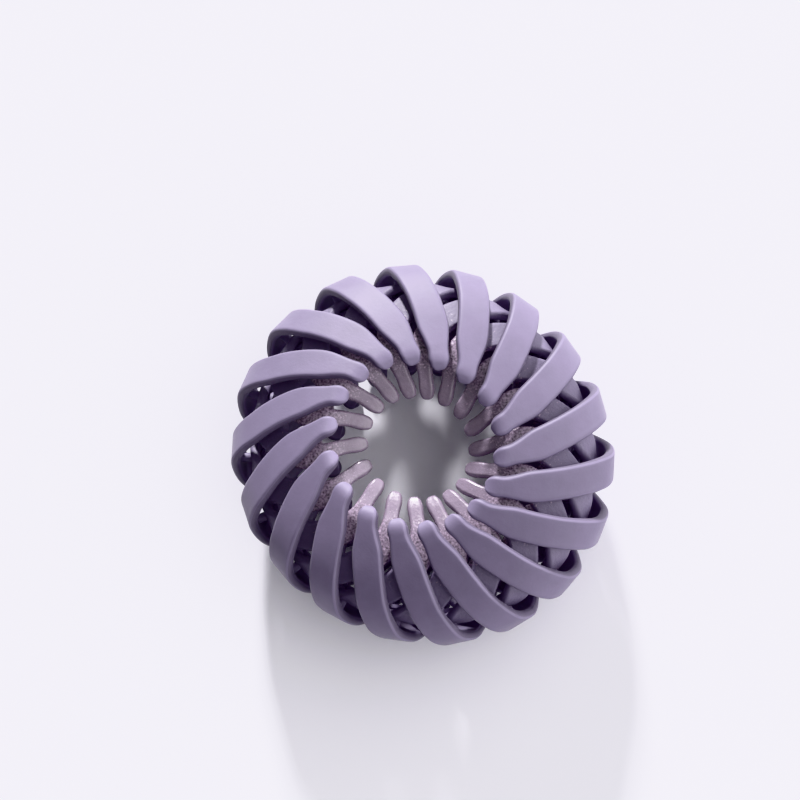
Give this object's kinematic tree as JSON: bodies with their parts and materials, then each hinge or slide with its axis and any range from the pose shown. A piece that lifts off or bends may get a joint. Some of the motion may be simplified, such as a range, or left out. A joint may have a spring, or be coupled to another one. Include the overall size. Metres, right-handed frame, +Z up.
{
  "type": "bird nest hair clip",
  "caption": "Springy closed ring of hooked claws in two crossing layers, matte bands outside and translucent teeth inside, that grips gathered hair in its middle.",
  "frame": {"origin": "centre of the ring, on the surface that it lies on", "axes": "+Z up along the ring's axis, through the opening for the hair; +X and +Y across the ring"},
  "size_m": [0.086, 0.0858, 0.0319],
  "materials": {
    "coated_band": "soft matte coat, lavender",
    "coated_tooth": "matte lavender coat on the band, bare translucent mauve plastic on the tooth"
  },
  "bodies": {
    "root": {"outer_claw_01": "coated_band", "outer_claw_02": "coated_band", "outer_claw_03": "coated_band", "outer_claw_04": "coated_band", "outer_claw_05": "coated_band", "outer_claw_06": "coated_band", "outer_claw_07": "coated_band", "outer_claw_08": "coated_band", "outer_claw_09": "coated_band", "outer_claw_10": "coated_band", "outer_claw_11": "coated_band", "outer_claw_12": "coated_band", "outer_claw_13": "coated_band", "outer_claw_14": "coated_band", "outer_claw_15": "coated_band", "outer_claw_16": "coated_band", "outer_claw_17": "coated_band", "outer_claw_18": "coated_band", "inner_claw_01": "coated_tooth", "inner_claw_02": "coated_tooth", "inner_claw_03": "coated_tooth", "inner_claw_04": "coated_tooth", "inner_claw_05": "coated_tooth", "inner_claw_06": "coated_tooth", "inner_claw_07": "coated_tooth", "inner_claw_08": "coated_tooth", "inner_claw_09": "coated_tooth", "inner_claw_10": "coated_tooth", "inner_claw_11": "coated_tooth", "inner_claw_12": "coated_tooth", "inner_claw_13": "coated_tooth", "inner_claw_14": "coated_tooth", "inner_claw_15": "coated_tooth", "inner_claw_16": "coated_tooth", "inner_claw_17": "coated_tooth", "inner_claw_18": "coated_tooth"}
  },
  "joints": []
}
